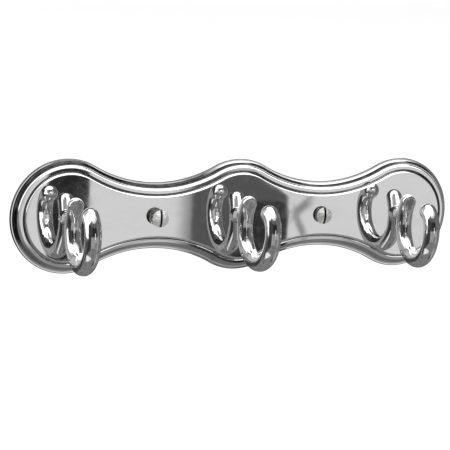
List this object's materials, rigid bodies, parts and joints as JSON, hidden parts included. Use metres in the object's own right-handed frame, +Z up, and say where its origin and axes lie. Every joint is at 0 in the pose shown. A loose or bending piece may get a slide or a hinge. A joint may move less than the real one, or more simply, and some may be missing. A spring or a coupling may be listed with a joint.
{
  "type": "wall hook rack",
  "caption": "Chromed coat rack: scalloped wall plate with a moulded rim and a row of thick curled hooks.",
  "frame": {"origin": "middle of the plate's back face, where it lies on the wall", "axes": "+X along the plate to the viewer's right, +Y into the wall, +Z up; the hooks face -Y"},
  "size_m": [0.251, 0.0817, 0.06],
  "materials": {
    "plate_chrome": "mirror polished, chromed casting",
    "hook_chrome": "mirror polished, chromed rod",
    "wall_screw_steel": "bright nickelled steel",
    "hook_screw_steel": "zinc-plated steel",
    "washer_steel": "zinc-plated steel"
  },
  "bodies": {
    "root": {"back_plate": "plate_chrome", "hook_left": "hook_chrome", "hook_centre": "hook_chrome", "hook_right": "hook_chrome", "hook_screws": "hook_screw_steel", "hook_washers": "washer_steel", "wall_screws": "wall_screw_steel"}
  },
  "joints": []
}
